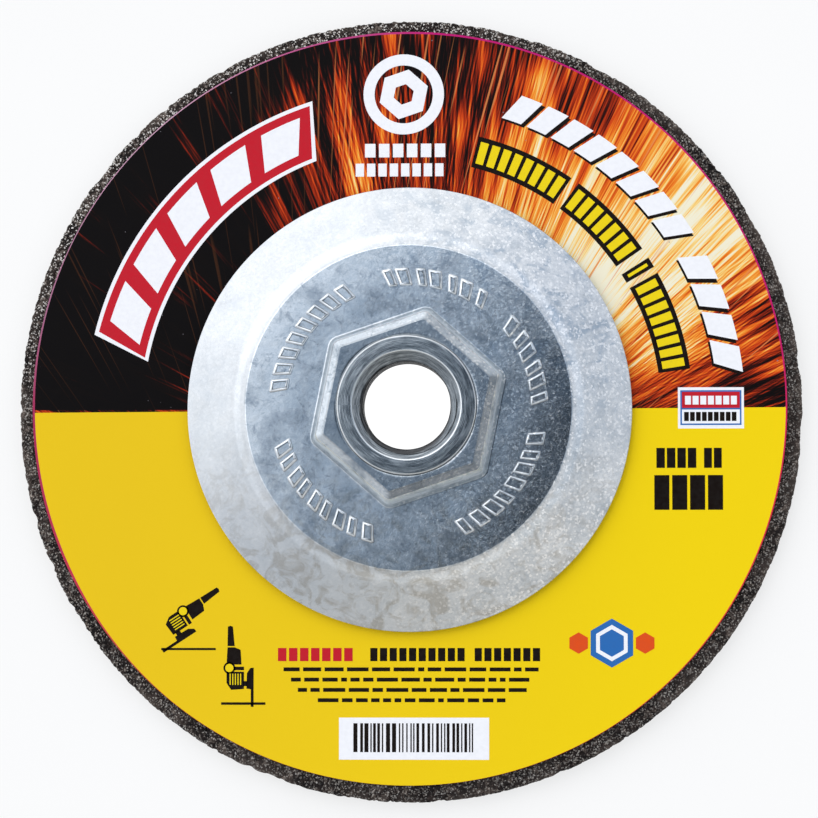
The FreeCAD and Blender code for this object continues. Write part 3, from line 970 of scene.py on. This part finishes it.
def mark_path(width, height, corner, slant):
    """Closed path of a rounded rectangle, and its outward directions."""
    path = []
    for cx, cy, first in ((1, 1, 0), (-1, 1, 90), (-1, -1, 180), (1, -1, 270)):
        for turn in (0, 30, 60, 90):
            a = math.radians(first + turn)
            out = Vector((math.cos(a), math.sin(a)))
            centre = Vector((cx * (width / 2 - corner), cy * (height / 2 - corner)))
            at = centre + corner * out
            path.append((at + Vector((slant * at.y, 0)), out))
    return path


marks = []
for start, count, widths in ((252, 9, (1.5, 1.1)), (170, 8, (1.5,)), (98, 7, (1.1, 1.7)), (38, 6, (1.5, 1.1)),
                             (-14, 8, (1.6, 1.2, 1.6))):
    bearing = start
    for at in range(count):
        width = widths[at % len(widths)]
        marks.append((bearing, width))
        bearing -= math.degrees((width + MARK_GAP) / MARK_RADIUS)

points, faces = [], []
for bearing, width in marks:
    path = mark_path(width, MARK_HEIGHT, 0.07, -0.30)
    first = len(points)
    for across, rise in RIDGE_SECTION:
        for at, out in path:
            u, v = at + across * out
            radius, angle = MARK_RADIUS + v, math.radians(bearing) - u / MARK_RADIUS
            points.append(spot(radius, angle, PLATEAU - 0.015 - dome_fall(radius) + rise))
    faces += [tuple(first + k for k in quad[::-1]) for quad in ring_faces(len(RIDGE_SECTION), len(path))]
add_piece("raised_marks", points, faces, zinc)
print("marks", len(marks))

# %% [markdown]
# The nut is turned and tapped with the 5/8-11 thread of a grinder's spindle: one turn rises by 25.4 / 11 mm.
# A thread is a radius that depends on the height and on the bearing together, so it needs no extra tool: the
# phase of the groove is the height less the share of a turn. Where the countersink is wider than the thread,
# the countersink wins. The nut's collar stands above the flange. Its barrel is bored plain and wider than the
# thread, which leaves a thin wall whose end can be rolled over the washer.

# %% Spindle nut
PITCH = 25.4 / 11
CREST_RADIUS = 6.93
ROOT_RADIUS = 7.94
CREST_SHARE, ROOT_SHARE = 0.26, 0.17  # of the pitch, along the axis
COLLAR_STAND = 0.5
LIP_REACH, LIP_THICKNESS = 1.3, 0.9
WASHER_THICKNESS, WASHER_WIDTH, WASHER_CLEARANCE = 1.5, 6.5, 0.1
NUT_TOP = CROWN + COLLAR_STAND
NUT_SEAT = PLATEAU - SHEET - LABEL_THICKNESS
WASHER_BOTTOM = DISH_RISE - WASHER_THICKNESS
NUT_BOTTOM = WASHER_BOTTOM - LIP_THICKNESS
BARREL_RADIUS = ARBOR_RADIUS - NUT_CLEARANCE
LIP_RADIUS = BARREL_RADIUS + LIP_REACH
TOP_SINK = SINK_EDGE
SINK_FALL = 1 / math.tan(math.radians(60))  # of a countersink of 120 degrees, for each millimetre inwards
BARREL_BORE = 8.3
THREAD_START = NUT_BOTTOM + 6.0
BORE_SHOULDER = THREAD_START - (BARREL_BORE - CREST_RADIUS)
NUT_SEGMENTS = 360
THREAD_RINGS = 88

bearings = bearings_round(NUT_SEGMENTS)
outside = rounded([
    (TOP_SINK, NUT_TOP, 0.30), (COLLAR_RADIUS, NUT_TOP, 0.25), (COLLAR_RADIUS, CEILING, 0),
    (NUT_FLATS / 2, CEILING, 0.3), (NUT_FLATS / 2, NUT_SEAT, 0.3),
    (BARREL_RADIUS, NUT_SEAT, 0), (BARREL_RADIUS, WASHER_BOTTOM, 0),
    (LIP_RADIUS, WASHER_BOTTOM, 0.2), (LIP_RADIUS, NUT_BOTTOM, 0.6), (BARREL_BORE, NUT_BOTTOM, 0.2),
    (BARREL_BORE, BORE_SHOULDER, 0), (CREST_RADIUS, THREAD_START, 0),
    (CREST_RADIUS, NUT_TOP - SINK_FALL * (TOP_SINK - CREST_RADIUS), 0),
])[:-2]  # the rings of the thread stand in for the last two corners

rings = []
for radius, height in outside:
    reach = np.full(NUT_SEGMENTS, radius)
    if NUT_SEAT <= height <= CEILING and radius > COLLAR_RADIUS:
        reach = hexagon_radius(bearings - HEXAGON_TURN, radius, 0.4)
    rings.append((reach, height))
for height in np.linspace(BORE_SHOULDER + 0.08, outside[0][1] - 0.05, THREAD_RINGS):
    phase = (height / PITCH - bearings / (2 * math.pi)) % 1.0
    off_crest = np.abs(phase - 0.5)  # 0 at the middle of a crest, 0.5 at the middle of a root
    ramp = (off_crest - CREST_SHARE / 2) / (0.5 - CREST_SHARE / 2 - ROOT_SHARE / 2)
    thread = CREST_RADIUS + (ROOT_RADIUS - CREST_RADIUS) * np.clip(ramp, 0, 1)
    sink = max(TOP_SINK - (NUT_TOP - height) / SINK_FALL, BARREL_BORE - (height - BORE_SHOULDER))
    rings.append((np.maximum(thread, sink), height))
points = [spot(r, a, height) for reach, height in rings for r, a in zip(reach, bearings)]
add_piece("threaded_nut", points, ring_faces(len(rings), NUT_SEGMENTS), turned_steel,
          "spindle_nut")

# %% [markdown]
# The washer in the recess is punched: its upper edges are drawn in round, its lower ones are sharp.

# %% Front washer
WASHER_SEGMENTS = 180
WASHER_HOLE = BARREL_RADIUS + WASHER_CLEARANCE
WASHER_RADIUS = WASHER_HOLE + WASHER_WIDTH
outline = rounded([
    (WASHER_HOLE, DISH_RISE, 0.1), (WASHER_RADIUS, DISH_RISE, 0.1),
    (WASHER_RADIUS, WASHER_BOTTOM, 0.3), (WASHER_HOLE, WASHER_BOTTOM, 0.3),
], longest=1.5)
bearings = bearings_round(WASHER_SEGMENTS)
points = [spot(radius, bearing, height) for radius, height in outline for bearing in bearings]
add_piece("recess_washer", points, ring_faces(len(outline), WASHER_SEGMENTS), punched_steel,
          "front_washer")

# %% [markdown]
# The studio: a pale floor that glows a little, as a light table does, and glows brighter under the middle of
# the disc, a painted light that keeps it white even where it is seen through the bore, and a soft sky around.
# Metal shows what it faces, so the sky matters more than any lamp. Straight above, where the camera's own
# dark side would be, it is a dull blue-grey, and the flange's flat plateau shows that. Lower down it is
# bright, most of all at the upper left, and the cone shows that.

# %% Floor
floor_paper, add, mm = start_material("studio_floor")
mottle = add("TexNoise", {"Vector": mm, "Scale": 1 / 60, "Detail": 2.0})
tone = add("MapRange", {0: mottle, 3: 0.25, 4: 0.28})
tone = add("CombineColor", [tone, tone, tone])
from_centre = add("VectorMath", [mm], "LENGTH")
# Painted light: the floor glows brighter within 20 mm of the axis, under the bore.
lit = add("MapRange", [from_centre, 20.0, 45.0, 1.02, 0.70])
shader = add("BsdfPrincipled", {
    "Base Color": tone, "Roughness": 0.9, "Specular IOR Level": 0.1,
    "Emission Color": (1.0, 1.0, 1.0, 1.0), "Emission Strength": lit,
})
add("OutputMaterial", [shader])
floor_mesh = bpy.data.meshes.new("floor")
REACH = 3.0
floor_mesh.from_pydata([(x, y, 0) for x, y in bar(-REACH, -REACH, REACH, REACH)], [], [(0, 1, 2, 3)])
floor_mesh.materials.append(floor_paper)
floor = bpy.data.objects.new("floor", floor_mesh)
bpy.context.collection.objects.link(floor)
floor.location.z = -0.02 * MM  # just clear of the work face
print("floor", 2 * REACH, "m wide")

# %% Sky
SKY_STRENGTH = 1.6
DARK_PATCH = Vector((0.165, -0.02, 1.0)).normalized()

world = bpy.data.worlds.new("soft_studio")
bpy.context.scene.world = world
world.use_nodes = True
world.node_tree.nodes.clear()
add = partial(node, world.node_tree)
direction = add("TexCoord").outputs["Generated"]
direction = add("VectorMath", [direction], "NORMALIZE")
x, y, z = add("SeparateXYZ", [direction]).outputs
azimuth = add("Math", [y, x], "ARCTAN2")
azimuth = add("MapRange", [azimuth, -math.pi, math.pi])
around = add("ValToRGB", [azimuth], stops=[
    (0.0, "#E4E5E6"), (0.07, "#C4C5C7"), (0.125, "#B0B2B4"), (0.25, "#B9B6B0"), (0.375, "#C8C5C0"),
    (0.5, "#C3C6CA"), (0.625, "#C6CAD1"), (0.75, "#F5F4F3"), (0.875, "#F8F6F6"), (1.0, "#E4E5E6"),
])
low_glow = add("ValToRGB", [azimuth], stops=[
    (0.0, 1.0), (0.12, 0.50), (0.3, 0.20), (0.5, 0.30), (0.66, 0.60), (0.80, 1.0), (1.0, 1.0),
])
height = add("MapRange", [z, 0.42, 0.57], interpolation_type="SMOOTHSTEP")
upper = add("MapRange", [z, 0.72, 0.86, 1.0, 1.42], interpolation_type="SMOOTHSTEP")
glow = add("Mix", {"Factor": height, "A": low_glow, "B": around}, data_type="RGBA")
toward_patch = add("VectorMath", [direction, tuple(DARK_PATCH)], "DOT_PRODUCT")
patch = add("ValToRGB", [toward_patch], stops=[
    (0.87, "#F6F8FB"), (0.92, "#CCD4DC"), (0.95, "#9EABB8"), (0.970, "#7D91A6"), (0.982, "#414F5C"),
    (0.989, "#0C1013"),
])
glow = add("Mix", {"Factor": 1.0, "A": glow, "B": patch}, data_type="RGBA", blend_type="MULTIPLY")
strength = add("Math", [upper, SKY_STRENGTH], "MULTIPLY")
background = add("Background", {"Color": glow, "Strength": strength})
add("OutputWorld", [background])
print("sky of", len(world.node_tree.nodes), "nodes")

# %% [markdown]
# One large, weak lamp at the upper left gives the shadows their direction. It is a metre wide, so that the
# shadows stay soft and the metal shows no hot spot.

# %% Lamp
KEY_PLACE = (-0.50, 0.55, 1.05)  # metres
key = bpy.data.lights.new("key", "AREA")
key.size, key.energy = 1.0, 1.1
holder = bpy.data.objects.new("key", key)
holder.location = KEY_PLACE
holder.rotation_mode = "QUATERNION"
holder.rotation_quaternion = (-Vector(KEY_PLACE)).to_track_quat("-Z", "Y")
bpy.context.collection.objects.link(holder)
print("lamp", round(Vector(KEY_PLACE).length, 2), "m away")
